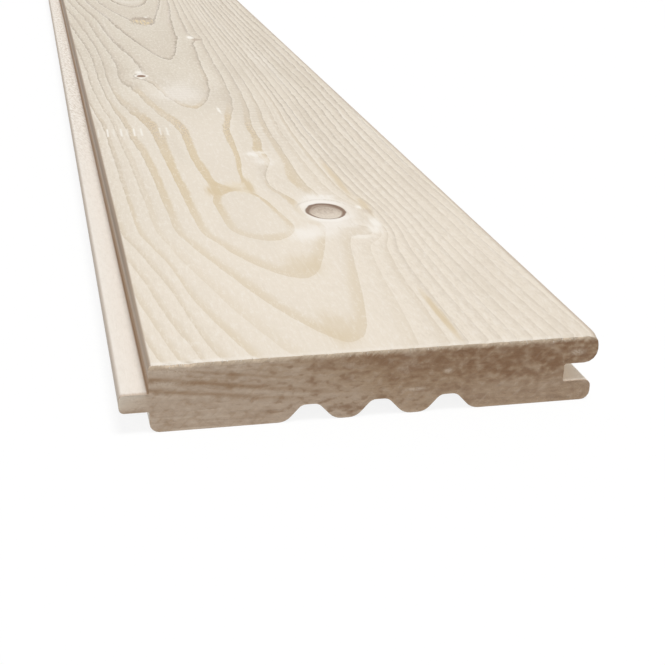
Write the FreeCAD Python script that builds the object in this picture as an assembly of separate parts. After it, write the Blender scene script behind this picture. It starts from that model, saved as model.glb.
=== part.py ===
"""Softwood tongue and groove floorboard, planed from one piece of timber.

The board lies face up. X runs across it from the tongue to the groove, Y along its length and Z up.
The origin is on the underside's plane, at the middle of the length and of the overall width.
One section is drawn from corners, each with its own round, and carried along the length.
"""

import FreeCAD, Part
import math
import os

# Overall sizes, in millimetres
BOARD_LENGTH = 4500.0
COVER_WIDTH = 135.0
THICKNESS = 21.0

# Tongue, on the -X edge
TONGUE_LENGTH = 8.5
TONGUE_THICKNESS = 5.5
WEAR_LAYER = 9.0
TONGUE_TIP_ROUND = 1.5

# Groove, on the +X edge, sized to take the tongue of the next board
GROOVE_SIDE_CLEARANCE = 0.2
GROOVE_END_CLEARANCE = 2.0
LOWER_LIP_SETBACK = 1.5
UPPER_MOUTH_ROUND = 4.2
LOWER_MOUTH_ROUND = 1.8
GROOVE_ROOT_ROUND = 0.8

# Planed edges
FACE_EDGE_ROUND = 1.5
UNDERSIDE_EDGE_ROUND = 2.8

# Relief channels planed along the underside
RELIEF_COUNT = 3
RELIEF_DEPTH = 5.2
RELIEF_CROWN_WIDTH = 5.0
RELIEF_MOUTH_WIDTH = 14.5
RELIEF_LAND_WIDTH = 6.5
RELIEF_CROWN_ROUND = 3.0
RELIEF_MOUTH_ROUND = 5.0

# Places across the board (X), from the overall width
OVERALL_WIDTH = TONGUE_LENGTH + COVER_WIDTH
TONGUE_TIP_X = -OVERALL_WIDTH / 2
SHOULDER_X = TONGUE_TIP_X + TONGUE_LENGTH
UPPER_LIP_X = SHOULDER_X + COVER_WIDTH
LOWER_LIP_X = UPPER_LIP_X - LOWER_LIP_SETBACK
GROOVE_ROOT_X = UPPER_LIP_X - TONGUE_LENGTH - GROOVE_END_CLEARANCE
RELIEF_MIDDLE_X = SHOULDER_X + COVER_WIDTH / 2
RELIEF_PITCH = RELIEF_MOUTH_WIDTH + RELIEF_LAND_WIDTH

# Heights above the underside (Z)
TONGUE_TOP_Z = THICKNESS - WEAR_LAYER
TONGUE_BOTTOM_Z = TONGUE_TOP_Z - TONGUE_THICKNESS
GROOVE_TOP_Z = TONGUE_TOP_Z + GROOVE_SIDE_CLEARANCE
GROOVE_BOTTOM_Z = TONGUE_BOTTOM_Z - GROOVE_SIDE_CLEARANCE

SHARP = 0.0


def tongue_edge():
    """Corners (x, z, round) of the tongue edge, from the face down to the underside."""
    return [
        (SHOULDER_X, THICKNESS, FACE_EDGE_ROUND),
        (SHOULDER_X, TONGUE_TOP_Z, SHARP),
        (TONGUE_TIP_X, TONGUE_TOP_Z, TONGUE_TIP_ROUND),
        (TONGUE_TIP_X, TONGUE_BOTTOM_Z, TONGUE_TIP_ROUND),
        (SHOULDER_X, TONGUE_BOTTOM_Z, SHARP),
        (SHOULDER_X, 0.0, UNDERSIDE_EDGE_ROUND),
    ]


def relief_channel(middle_x):
    """Corners of one relief channel, a flat-crowned wave with its mouth on the underside."""
    half_mouth = RELIEF_MOUTH_WIDTH / 2
    half_crown = RELIEF_CROWN_WIDTH / 2
    return [
        (middle_x - half_mouth, 0.0, RELIEF_MOUTH_ROUND),
        (middle_x - half_crown, RELIEF_DEPTH, RELIEF_CROWN_ROUND),
        (middle_x + half_crown, RELIEF_DEPTH, RELIEF_CROWN_ROUND),
        (middle_x + half_mouth, 0.0, RELIEF_MOUTH_ROUND),
    ]


def underside():
    """Corners of all the relief channels, evenly spaced about the middle of the cover width."""
    first_x = RELIEF_MIDDLE_X - RELIEF_PITCH * (RELIEF_COUNT - 1) / 2
    corners = []
    for index in range(RELIEF_COUNT):
        corners += relief_channel(first_x + RELIEF_PITCH * index)
    return corners


def groove_edge():
    """Corners of the groove edge, from the underside up round the groove to the face."""
    return [
        (LOWER_LIP_X, 0.0, UNDERSIDE_EDGE_ROUND),
        (LOWER_LIP_X, GROOVE_BOTTOM_Z, LOWER_MOUTH_ROUND),
        (GROOVE_ROOT_X, GROOVE_BOTTOM_Z, GROOVE_ROOT_ROUND),
        (GROOVE_ROOT_X, GROOVE_TOP_Z, GROOVE_ROOT_ROUND),
        (UPPER_LIP_X, GROOVE_TOP_Z, UPPER_MOUTH_ROUND),
        (UPPER_LIP_X, THICKNESS, FACE_EDGE_ROUND),
    ]


def corner_round(before, corner, after, radius):
    """Start, middle and end of the arc that rounds a corner; all three are the corner where it is sharp."""
    if radius == SHARP:
        return corner, corner, corner
    back = (before - corner).normalize()
    ahead = (after - corner).normalize()
    half_angle = back.getAngle(ahead) / 2
    bisector = (back + ahead).normalize()
    tangent_length = radius / math.tan(half_angle)
    centre_distance = radius / math.sin(half_angle)
    start = corner + back * tangent_length
    middle = corner + bisector * (centre_distance - radius)
    end = corner + ahead * tangent_length
    return start, middle, end


def section_wire(corners, y):
    """Closed wire through the corners at a place along the board: straight runs joined by tangent arcs."""
    points = [FreeCAD.Vector(x, y, z) for x, z, radius in corners]
    rounds = []
    for index, (x, z, radius) in enumerate(corners):
        after = points[(index + 1) % len(points)]
        rounds.append(corner_round(points[index - 1], points[index], after, radius))
    edges = []
    for index, (start, middle, end) in enumerate(rounds):
        if start != end:
            edges.append(Part.Arc(start, middle, end).toShape())
        next_start = rounds[(index + 1) % len(rounds)][0]
        edges.append(Part.LineSegment(end, next_start).toShape())
    return Part.Wire(edges)


def board():
    """The section carried along the whole length, between two square-sawn ends."""
    corners = tongue_edge() + underside() + groove_edge()
    section = Part.Face(section_wire(corners, -BOARD_LENGTH / 2))
    return section.extrude(FreeCAD.Vector(0, BOARD_LENGTH, 0))


def main():
    os.makedirs("parts", exist_ok=True)
    solid = board()
    solid.exportStep("parts/board.step")
    size = solid.BoundBox
    print(f"board {size.XLength:.2f} x {size.YLength:.2f} x {size.ZLength:.2f} mm")
    print(f"section {solid.Volume / BOARD_LENGTH:.1f} mm2, valid {solid.isValid()}")


main()
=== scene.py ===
"""Looks of a planed softwood tongue and groove floorboard, lying face up on a pale floor.

The board is one closed mesh: its section is carried along its length, and its rough sawn ends close it.
Loose fibres stand along the sawn edges. The figure of the wood is one field of growth rings through the
whole board, so the lines on the face, the edges, the underside and the ends belong together.
Shapes and the figure are worked out in millimetres; the meshes are in metres.
"""

import math

import bpy
import numpy as np
from mathutils import Matrix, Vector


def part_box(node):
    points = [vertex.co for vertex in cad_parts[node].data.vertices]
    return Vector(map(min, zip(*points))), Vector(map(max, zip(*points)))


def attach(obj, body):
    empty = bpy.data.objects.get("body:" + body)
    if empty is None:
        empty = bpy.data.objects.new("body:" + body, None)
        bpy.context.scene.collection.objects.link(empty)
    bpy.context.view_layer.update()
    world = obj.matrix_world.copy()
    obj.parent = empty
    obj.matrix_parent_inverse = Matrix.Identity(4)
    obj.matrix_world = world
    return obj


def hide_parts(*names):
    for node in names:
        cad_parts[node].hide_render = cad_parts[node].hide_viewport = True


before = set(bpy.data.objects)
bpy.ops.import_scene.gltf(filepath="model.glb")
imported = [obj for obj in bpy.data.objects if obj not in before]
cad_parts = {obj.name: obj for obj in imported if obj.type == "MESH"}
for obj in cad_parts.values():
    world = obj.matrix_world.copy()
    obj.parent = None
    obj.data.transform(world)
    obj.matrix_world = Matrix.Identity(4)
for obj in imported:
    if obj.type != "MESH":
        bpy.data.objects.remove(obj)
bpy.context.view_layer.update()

MM = 0.001
LOW, HIGH = (np.array(corner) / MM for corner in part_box("board"))

# Section, in millimetres
TONGUE_LENGTH = 8.5
TONGUE_THICKNESS = 5.5
WEAR_LAYER = 9.0
TONGUE_TIP_ROUND = 1.5
ROOT_ROUND = 0.3
GROOVE_SIDE_CLEARANCE = 0.2
GROOVE_END_CLEARANCE = 2.0
LOWER_LIP_SETBACK = 1.5
UPPER_MOUTH_ROUND = 4.2
LOWER_MOUTH_ROUND = 1.8
GROOVE_ROOT_ROUND = 0.8
FACE_EDGE_ROUND = 1.5
UNDERSIDE_EDGE_ROUND = 2.8
RELIEF_COUNT = 3
RELIEF_DEPTH = 5.2
RELIEF_CROWN_WIDTH = 5.0
RELIEF_MOUTH_WIDTH = 14.5
RELIEF_LAND_WIDTH = 6.5
RELIEF_CROWN_ROUND = 3.0
RELIEF_MOUTH_ROUND = 5.0

# Places across (x) and up (z), from the frame's box and the section
TONGUE_TIP_X, NEAR_Y, UNDERSIDE_Z = LOW
UPPER_LIP_X, FAR_Y, FACE_Z = HIGH
LENGTH = FAR_Y - NEAR_Y
SHOULDER_X = TONGUE_TIP_X + TONGUE_LENGTH
COVER_WIDTH = UPPER_LIP_X - SHOULDER_X
LOWER_LIP_X = UPPER_LIP_X - LOWER_LIP_SETBACK
GROOVE_ROOT_X = UPPER_LIP_X - TONGUE_LENGTH - GROOVE_END_CLEARANCE
GROOVE_ROOT = GROOVE_ROOT_X - SHOULDER_X
TONGUE_TOP_Z = FACE_Z - WEAR_LAYER
TONGUE_BOTTOM_Z = TONGUE_TOP_Z - TONGUE_THICKNESS
GROOVE_TOP_Z = TONGUE_TOP_Z + GROOVE_SIDE_CLEARANCE
GROOVE_BOTTOM_Z = TONGUE_BOTTOM_Z - GROOVE_SIDE_CLEARANCE

# Mesh of the board: its steps round the section, its rows along, and the rows that close a sawn end
ARC_POINTS = 5
FACE_STEP = 1.25
OTHER_STEP = 3.0
ROW_STEP = 34.0
ROWS_OVER_KNOT = 10
ROWS_PAST_KNOT = 1.3
ROW_SAMPLES = 40000
END_ROWS = np.array([0.22, 0.6, 1.4, 3.0, 6.0, 12.0, 22.0])
END_ROWS_REACH = 30.0
SAWN_ROWS = 11
SAWN_ROWS_CROWD = 1.35
RIM_SHARE = 0.012
HEART_SHARE = 0.6
HEART_FROM_SHOULDER = 4.0
HEART_FROM_GROOVE = 7.0
HEART_RAISED = 1.0
LIP_HEARTS_Z = (4.0, 15.0)
SEED = 7

# Relief, in mm: the planed face, how far in the sawn ends lie, what the saw left, and wear at the rim
FACE_UNEVEN = 0.02
KNOT_SUNK = 0.22
PIN_SUNK = 0.5
KNOT_RIM_RAISED = 0.07
TORN_SUNK = 0.3
TORN_RAGGED = 0.15
RIM_SHORT = 0.06
SAWN_SHORT = 0.10
SAW_STROKES = 0.05
SAW_TEARING = 0.05
RIM_WEAR = 0.28
CORNER_WEAR = 0.8

# Chips out of the face's sawn edge: across, reach across, size
CHIPS = ((6.0, 2.2, 0.9), (11.5, 1.5, 0.6))

# Bake layout: the length is folded into strips side by side, with both ends above them
STRIPS = 4
STRIP_GAP = 9.0
END_ENLARGED = 3.6

# Growth rings, in mm: their bow across the face, their widths, and the line of the tree's heart
RING_BOW = 33.4
RING_WIDTH_ACROSS = 5.25
RING_WIDTH_DOWN = 1.9
TONGUE_SIDE_STRETCH = ((20.0, 0.87), (160.0, 1.0))
NEAR_STRETCH = 900.0
HEART_MIDDLE = 52.0
HEART_LINE = (
    (0.0, 61.0), (60.0, 56.5), (140.0, 53.0), (220.0, 51.5), (320.0, 53.0), (450.0, 53.5), (580.0, 51.5),
    (690.0, 50.0), (900.0, 52.0),
)

# How the rings taper along the near stretch: mm from the near end, and count of rings on the heart line
TAPER = (
    (0.0, 0.16), (9.0, 0.0), (35.0, -0.45), (64.0, -1.0), (104.0, -2.0), (122.0, -2.42), (150.0, -2.44),
    (173.0, -2.41), (205.0, -2.38), (235.0, -2.39), (262.0, -2.38), (290.0, -2.58), (318.0, -3.0),
    (385.0, -3.66), (450.0, -3.98), (500.0, -4.34), (576.0, -4.98), (610.0, -5.26), (659.0, -5.95),
    (690.0, -6.40), (770.0, -7.1), (900.0, -8.0),
)
TAPER_MOST = 10.0
TAPER_GROOVE_SIDE = 0.23
TAPER_GROOVE_FADE = (73.0, 123.0)

# Slope of the count: the step along that it is read over (mm), its growth at the arches, and its least
SLOPE_STEP = 4.0
ARCH_BROADENS = 2.5
LEAST_SLOPE = 0.02

# Narrower rings by the edges: where they begin and end, and how many rings that adds
CROWDED_TONGUE_SIDE = ((19.5, 12.5, 0.45), (12.0, 0.0, 0.4))
CROWDED_TONGUE_REACH = (150.0, 50.0)
CROWDED_GROOVE_FROM = 92.0
CROWDED_GROOVE_SLOPE = 0.060
CROWDED_TONGUE_SLOPE = 0.08

# Past the near stretch: how the heart wanders, how long an arch is, and waves as (length, rings)
HEART_WANDER = 9.0
HEART_WAVE = 520.0
FAR_ARCH_LENGTH = 130.0
TAPER_WAVES = ((190.0, 0.9), (83.0, 0.4))

# Swells of the rings beside knots: across, along, reach across, reach along, rings
SWELLS = (
    (69.0, 178.0, 10.0, 30.0, 0.88),
    (96.0, 125.0, 10.0, 26.0, -0.86),
    (31.0, 402.0, 9.0, 14.0, -0.46),
    (78.0, 525.0, 7.0, 12.0, -0.55),
    (70.0, 232.0, 6.0, 14.0, 0.28),
    (92.0, 108.0, 7.0, 10.0, -1.2),
    (50.0, 171.0, 12.0, 9.0, 0.30),
    (50.0, 190.0, 12.0, 24.0, 0.13),
    (17.0, 365.0, 10.0, 100.0, -0.8),
    (16.0, 268.0, 9.0, 28.0, -0.3),
    (24.0, 520.0, 10.0, 70.0, -0.3),
)

# Knots and a torn patch: across, along, half width, half length
MAIN_KNOT = (80.7, 135.8, 7.4, 10.2)
PIN_KNOTS = ((34.0, 405.0, 3.0, 3.6),)
TORN_PATCH = (52.0, 599.0, 9.5, 20.0)

# The rest of the board's knots follow a rhythm: first place, pitch, shift, middle across, swing across
KNOT_ROW = (1150.0, 520.0, 80.0, 66.0, 42.0)
PIN_ROW = (940.0, 390.0, 110.0, 62.0, 48.0)
KNOT_ROW_HALF_WIDTH = 5.8
PIN_ROW_HALF_WIDTH = 2.2
PIN_MOST_HALF_WIDTH = 4.0
ROW_SHIFT_TURN = 1.7
ROW_SWING_TURN = 2.4
ROW_SWING_START = 0.6

# Every knot: stretch along, pull on the rings, how far off the heart is (mm), and a far distance in radii
KNOT_STRETCH = 1.38
KNOT_GRIP = 0.5
KNOT_HEART_HEIGHT = 130.0
FAR_FROM_KNOTS = 9.0

# Soft marks on the face: across, along, reach across, reach along, share
PALE_MARKS = (
    (71.0, 111.0, 11.0, 8.0, 0.6),
    (82.0, 118.0, 9.0, 6.0, 0.6),
    (95.0, 116.0, 3.0, 8.0, 0.5),
    (67.0, 224.0, 4.0, 6.0, 0.9),
    (71.5, 228.0, 4.0, 4.0, 0.7),
    (70.5, 213.0, 4.5, 10.0, 0.55),
    (81.0, 152.0, 7.0, 9.5, 0.85),
    (67.0, 108.0, 6.0, 9.0, 0.45),
    (50.0, 356.0, 14.0, 26.0, 0.5),
)
SMALL_PALE_MARKS = (
    (76.6, 529.0, 2.6, 6.5, 1.0),
    (65.0, 314.0, 0.8, 8.0, 0.9),
    (55.6, 615.0, 1.6, 4.0, 0.95),
    (94.5, 139.0, 1.2, 2.8, 0.8),
    (34.0, 414.0, 2.4, 8.0, 1.0),
    (33.6, 398.5, 1.8, 4.0, 0.8),
    (96.2, 119.0, 1.9, 7.5, 0.6),
    (93.4, 110.0, 2.8, 5.0, 0.55),
    (87.0, 103.0, 4.6, 2.8, 0.45),
)
SMALL_DARK_MARKS = (
    (80.0, 521.0, 3.6, 4.2, 1.0),
    (97.0, 133.5, 2.2, 4.0, 0.4),
    (29.4, 398.0, 1.3, 3.0, 0.5),
)
PLAIN_MARKS = (
    (52.5, 176.0, 5.5, 7.0, 0.9),
    (55.0, 168.0, 4.5, 5.0, 0.8),
)
RESIN_STREAKS = (
    (92.4, 24.0, 1.5, 22.0, 0.85),
    (95.2, 178.0, 1.8, 34.0, 0.7),
    (97.4, 141.0, 2.2, 12.0, 0.65),
    (42.2, 169.0, 3.8, 9.0, 1.0),
    (43.0, 178.0, 2.2, 7.0, 0.9),
    (46.5, 171.5, 4.0, 4.5, 0.9),
    (53.0, 171.0, 5.0, 3.0, 0.45),
    (57.2, 176.0, 2.0, 14.0, 0.9),
)
RESIN_MARKS = (
    (58.0, 18.0, 7.0, 16.0, 0.45),
    (60.0, 76.0, 8.0, 12.0, 0.45),
)

# Pale ticks that a skipping knife left: across, share
KNIFE_TICKS = (
    (2.4, 0.45), (6.7, 1.0), (9.5, 0.4), (13.0, 0.9), (16.0, 0.5), (19.0, 1.0), (22.4, 0.8), (31.2, 0.75),
    (34.5, 0.75),
)
KNIFE_TICKS_ALONG = 272.5
KNIFE_PITCH = 5.6

# Dark streaks on the sawn end: depth at the tongue edge, half height, share
SAWN_STREAKS = ((1.3, 0.5, 0.5), (4.7, 0.85, 0.8), (7.9, 0.8, 0.65))
SAWN_STREAKS_RISE = 0.14

# Pale flecks and dark shades on the sawn end: across, depth, reach across, reach down, share
SAWN_FLECKS = (
    (6.0, 2.6, 7.0, 1.0, 0.85),
    (4.0, 6.3, 5.0, 0.9, 0.85),
    (88.0, 8.3, 1.2, 0.7, 0.8),
    (78.0, 13.5, 3.0, 0.6, 0.8),
    (128.5, 5.2, 2.2, 0.9, 0.8),
    (-5.5, 10.8, 4.0, 2.0, 0.8),
)
SAWN_SHADES = ((62.0, 3.5, 9.0, 2.2, 0.55), (80.0, 6.0, 9.0, 4.0, 0.6), (108.0, 6.0, 14.0, 4.0, 0.4))


def rhythm(row, count):
    """Places of a row of knots: every pitch along, shifted by a sine, and swung across by another sine."""
    first, pitch, shift, middle, swing = row
    along = first + pitch * count + shift * np.sin(ROW_SHIFT_TURN * count)
    across = middle + swing * np.sin(ROW_SWING_TURN * count + ROW_SWING_START)
    return across, along


def all_knots():
    """Across, along, half width and half length of every knot that is worth relief, one row each."""
    rows = [MAIN_KNOT, *PIN_KNOTS]
    for row, half_width in ((KNOT_ROW, KNOT_ROW_HALF_WIDTH), (PIN_ROW, PIN_ROW_HALF_WIDTH)):
        count = np.arange(int((LENGTH - row[0]) / row[1]) + 1)
        across, along = rhythm(row, count)
        halves = np.tile((half_width, half_width * KNOT_STRETCH), (len(count), 1))
        rows += np.column_stack([across, along, halves]).tolist()
    return np.array(rows)


# Shapes

def smooth_step(value, low, high):
    """Rises from 0 at low to 1 at high along a cubic with level ends."""
    share = np.clip((value - low) / (high - low), 0.0, 1.0)
    return share * share * (3.0 - 2.0 * share)


def hump(value, middle, reach):
    """1 at the middle, falling off either side of it as a bell of that reach."""
    return np.exp(-(((value - middle) / reach) ** 2))


def ripple(u, v, size, seed, waves=14):
    """Smooth seeded unevenness in about -1 to 1: a sum of sine waves in random directions, size long."""
    draw = np.random.default_rng(seed)
    angle = draw.uniform(0, math.tau, waves)
    phase = draw.uniform(0, math.tau, waves)
    turns = math.tau / (size * draw.uniform(0.6, 1.8, waves))
    steps = np.multiply.outer(u, turns * np.cos(angle)) + np.multiply.outer(v, turns * np.sin(angle))
    return np.sin(steps + phase).sum(-1) / math.sqrt(waves)


def section_corners():
    """Corners (x, z, round) of the section: down the tongue edge, along below, and up the groove edge."""
    middle = SHOULDER_X + COVER_WIDTH / 2
    pitch = RELIEF_MOUTH_WIDTH + RELIEF_LAND_WIDTH
    channels = middle + pitch * (np.arange(RELIEF_COUNT) - (RELIEF_COUNT - 1) / 2)
    tongue = [
        (SHOULDER_X, FACE_Z, FACE_EDGE_ROUND),
        (SHOULDER_X, TONGUE_TOP_Z, ROOT_ROUND),
        (TONGUE_TIP_X, TONGUE_TOP_Z, TONGUE_TIP_ROUND),
        (TONGUE_TIP_X, TONGUE_BOTTOM_Z, TONGUE_TIP_ROUND),
        (SHOULDER_X, TONGUE_BOTTOM_Z, ROOT_ROUND),
        (SHOULDER_X, UNDERSIDE_Z, UNDERSIDE_EDGE_ROUND),
    ]
    below = []
    for x in channels:
        below += [
            (x - RELIEF_MOUTH_WIDTH / 2, UNDERSIDE_Z, RELIEF_MOUTH_ROUND),
            (x - RELIEF_CROWN_WIDTH / 2, UNDERSIDE_Z + RELIEF_DEPTH, RELIEF_CROWN_ROUND),
            (x + RELIEF_CROWN_WIDTH / 2, UNDERSIDE_Z + RELIEF_DEPTH, RELIEF_CROWN_ROUND),
            (x + RELIEF_MOUTH_WIDTH / 2, UNDERSIDE_Z, RELIEF_MOUTH_ROUND),
        ]
    groove = [
        (LOWER_LIP_X, UNDERSIDE_Z, UNDERSIDE_EDGE_ROUND),
        (LOWER_LIP_X, GROOVE_BOTTOM_Z, LOWER_MOUTH_ROUND),
        (GROOVE_ROOT_X, GROOVE_BOTTOM_Z, GROOVE_ROOT_ROUND),
        (GROOVE_ROOT_X, GROOVE_TOP_Z, GROOVE_ROOT_ROUND),
        (UPPER_LIP_X, GROOVE_TOP_Z, UPPER_MOUTH_ROUND),
        (UPPER_LIP_X, FACE_Z, FACE_EDGE_ROUND),
    ]
    return np.array(tongue + below + groove)


def section_outline():
    """Closed outline of the section as (x, z) rows: tangent arcs at the corners, and even steps between.

    An arc turns from its start to its end about its centre: the two spokes are mixed by the sines of the
    angles that are left and done, over the sine of the whole angle.
    """
    corners = section_corners()
    place, radius = corners[:, :2], corners[:, 2:]
    back = np.roll(place, 1, axis=0) - place
    ahead = np.roll(place, -1, axis=0) - place
    back /= np.linalg.norm(back, axis=1, keepdims=True)
    ahead /= np.linalg.norm(ahead, axis=1, keepdims=True)
    half_angle = np.arccos(np.clip((back * ahead).sum(1, keepdims=True), -1, 1)) / 2
    bisector = back + ahead
    bisector /= np.linalg.norm(bisector, axis=1, keepdims=True)
    centre = place + bisector * radius / np.sin(half_angle)
    spoke_in = place + back * radius / np.tan(half_angle) - centre
    spoke_out = place + ahead * radius / np.tan(half_angle) - centre
    turn = (math.pi - 2 * half_angle)[:, None, :]
    share = np.linspace(0, 1, ARC_POINTS)[None, :, None]
    mixed = np.sin((1 - share) * turn) * spoke_in[:, None] + np.sin(share * turn) * spoke_out[:, None]
    arcs = centre[:, None] + mixed / np.sin(turn)
    pieces = []
    for arc, next_arc in zip(arcs, np.roll(arcs, -1, axis=0)):
        run = np.linalg.norm(next_arc[0] - arc[-1])
        on_face = arc[-1, 1] > FACE_Z - ROOT_ROUND and next_arc[0, 1] > FACE_Z - ROOT_ROUND
        steps = max(1, math.ceil(run / (FACE_STEP if on_face else OTHER_STEP)))
        between = np.linspace(0, 1, steps + 1)[1:-1, None]
        pieces += [arc, arc[-1] + (next_arc[0] - arc[-1]) * between]
    return np.concatenate(pieces)


def heart_of(outline):
    """Where each point of the outline goes as the sawn end closes: a level line, and past it the lips."""
    reach = GROOVE_ROOT_X - HEART_FROM_GROOVE
    level = (TONGUE_TOP_Z + TONGUE_BOTTOM_Z) / 2 + HEART_RAISED
    x = np.clip(outline[:, 0], SHOULDER_X + HEART_FROM_SHOULDER, reach)
    past = outline[:, 0] > reach
    lip_z = np.interp(outline[:, 1], (GROOVE_BOTTOM_Z, GROOVE_TOP_Z), LIP_HEARTS_Z)
    return np.stack([x, np.where(past, lip_z, level)], axis=1)


def rows_along():
    """Distances from the near end of the board's rows: even steps, and more of them over each knot.

    The steps follow the running total of a density that is 1 everywhere and rises in a bell over each knot.
    """
    fine = np.linspace(0, LENGTH, ROW_SAMPLES)
    density = np.ones_like(fine)
    for along, half_length in all_knots()[:, [1, 3]]:
        reach = half_length * ROWS_PAST_KNOT
        height = ROWS_OVER_KNOT * ROW_STEP / (reach * math.sqrt(math.pi))
        density += height * hump(fine, along, reach)
    total = np.concatenate([[0], np.cumsum((density[1:] + density[:-1]) / 2 * np.diff(fine))])
    count = int(total[-1] / ROW_STEP)
    even = np.interp(np.linspace(0, total[-1], count), total, fine)[1:-1]
    even = even[(even > END_ROWS_REACH) & (even < LENGTH - END_ROWS_REACH)]
    folds = LENGTH * np.arange(1, STRIPS) / STRIPS
    return np.unique(np.concatenate([END_ROWS, even, folds, LENGTH - END_ROWS]))


def far_from(across, along, mark):
    """How far a place is from a knot or patch, in its half widths across and half lengths along."""
    mark_across, mark_along, half_width, half_length = mark
    return np.hypot((across - mark_across) / half_width, (along - mark_along) / half_length)


def face_relief(across, along):
    """Height of the planed face above true, in mm: sunk knots with raised rings, and a torn patch."""
    height = FACE_UNEVEN * ripple(across / 14.0, along / 160.0, 1.0, SEED)
    for knot in all_knots():
        far = far_from(across, along, knot)
        sunk, wall = (PIN_SUNK, 0.35) if knot[2] < PIN_MOST_HALF_WIDTH else (KNOT_SUNK, 0.75)
        height -= sunk * (1 - smooth_step(far, wall, 1.05))
        height += KNOT_RIM_RAISED * hump(far, 1.5, 0.45)
    torn = 1 - smooth_step(far_from(across, along, TORN_PATCH), 0.6, 1.1)
    return height - torn * (TORN_SUNK + TORN_RAGGED * ripple(across / 3.0, along / 14.0, 1.0, SEED + 1))


def sawn_relief(x, z):
    """Unevenness that the saw left on an end, in mm: slanting strokes and fine tearing."""
    strokes = ripple((x + 0.6 * z) / 1.9, z / 16.0, 1.0, SEED + 2)
    tearing = ripple(x, z, 1.6, SEED + 3)
    return SAW_STROKES * strokes + SAW_TEARING * tearing


def board_grid():
    """The board's points as rows of outlines, and which rows are planed.

    Rows run from the heart of the near end out to its rim, along the length, and in again over the far end.
    On a sawn end a point lies between the outline and the heart, by a share; on the length the share is 0.
    The rim is broken: its rows keep to the saw's plane unevenly, and the face's edge is chipped.
    """
    outline = section_outline()
    heart = heart_of(outline)
    inward = HEART_SHARE * np.linspace(0, 1, SAWN_ROWS) ** SAWN_ROWS_CROWD
    inward[1] = RIM_SHARE
    along = rows_along()
    share = np.concatenate([inward[::-1], np.zeros(len(along)), inward])
    y = np.concatenate([np.zeros(SAWN_ROWS), along, np.full(SAWN_ROWS, LENGTH)])
    flat = outline + (heart - outline) * share[:, None, None]
    x, z = flat[..., 0], flat[..., 1]
    from_end = np.minimum(y, LENGTH - y)[:, None]
    side = np.where(y < LENGTH / 2, 1.0, -1.0)[:, None]
    sawn = np.zeros(len(y), bool)
    sawn[:SAWN_ROWS] = True
    sawn[-SAWN_ROWS:] = True
    across = outline[:, 0] - SHOULDER_X
    on_face = smooth_step(outline[:, 1], FACE_Z - 0.4, FACE_Z - 0.02)
    chips = 0.55 * np.clip(ripple(across, np.zeros_like(across), 4.2, SEED + 4) - 0.35, 0, None)
    for middle, reach, size in CHIPS:
        chips += size * hump(across, middle, reach)
    chips *= on_face
    at_rim = (1 - smooth_step(share, 0.0, 0.12))[:, None]
    near_rim = hump(from_end, 0.0, 1.1) * at_rim
    inside = smooth_step(share, 0.0, 0.05)[:, None]
    rough = inside * (1 - smooth_step(share, 0.3, HEART_SHARE))[:, None]
    short = SAWN_SHORT * inside + rough * sawn_relief(x, z + side * 40.0)
    place = y[:, None] + side * (RIM_SHORT + short + chips * near_rim)
    on_length = 1.0 - sawn[:, None]
    lift = on_face * on_length * face_relief(np.broadcast_to(x - SHOULDER_X, place.shape), place)
    worn = RIM_WEAR * on_face * hump(from_end, 0.0, 0.7) * at_rim
    by_corner = smooth_step(outline[:, 1], FACE_Z - 4.0, FACE_Z) * hump(across, COVER_WIDTH, 2.0)
    corner = CORNER_WEAR * by_corner * hump(from_end, 0.0, 2.2) * at_rim
    drop = 0.7 * chips * near_rim + worn + corner
    points = np.stack([x - 0.5 * corner, NEAR_Y + place, z + lift - drop], axis=-1)
    return points, ~(sawn[1:] & sawn[:-1]), outline


def unfolded(points, planed, outline):
    """Flat places (u, v) of each quad's corners, and of the two heart loops, in shares of the sheet.

    Along the length u is the distance round the outline and v the distance along, folded at each strip.
    The ends keep their own x and z, enlarged.
    """
    strides = np.linalg.norm(np.diff(outline, axis=0, append=outline[:1]), axis=1)
    round_outline = np.concatenate([[0], np.cumsum(strides)])
    girth = round_outline[-1] + STRIP_GAP
    strip_length = LENGTH / STRIPS
    sheet = STRIPS * girth
    row_y = points[:, 0, 1] - NEAR_Y
    middle = (row_y[1:] + row_y[:-1]) / 2
    strip = np.clip((middle / strip_length).astype(int), 0, STRIPS - 1)
    columns = len(outline)
    corner_row = np.array([0, 1, 1, 0])
    corner_column = np.array([0, 0, 1, 1])
    rows = np.arange(len(points) - 1)[:, None, None] + corner_row
    loops = np.arange(columns)[None, :, None] + corner_column
    u = strip[:, None, None] * girth + round_outline[loops]
    v = row_y[rows] - strip[:, None, None] * strip_length + 0.0 * loops
    far = (np.arange(len(points) - 1) > len(points) / 2)[:, None, None]
    x = points[rows, loops % columns, 0] - TONGUE_TIP_X
    z = points[rows, loops % columns, 2]
    far_shift = (UPPER_LIP_X - TONGUE_TIP_X + STRIP_GAP) * END_ENLARGED
    end_u = x * END_ENLARGED + far * far_shift
    end_v = strip_length + STRIP_GAP + z * END_ENLARGED
    on_length = planed[:, None, None]
    quads = np.stack([np.where(on_length, u, end_u), np.where(on_length, v, end_v)], axis=-1)
    hearts = []
    for row, shift in ((0, 0.0), (-1, far_shift)):
        loop_u = (points[row, :, 0] - TONGUE_TIP_X) * END_ENLARGED + shift
        loop_v = strip_length + STRIP_GAP + points[row, :, 2] * END_ENLARGED
        hearts.append(np.stack([loop_u, loop_v], axis=-1))
    hearts[1] = hearts[1][::-1]
    return np.concatenate([quads.reshape(-1, 2), *hearts]) / sheet


def quads_between(rows, columns):
    """Corners of the quads between neighbouring rows of a grid whose rows close on themselves."""
    first = (np.arange(rows - 1) * columns)[:, None]
    here = np.arange(columns)[None, :]
    following = (here + 1) % columns
    corners = [first + here, first + columns + here, first + columns + following, first + following]
    return np.stack(corners, axis=-1).reshape(-1, 4)


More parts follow.
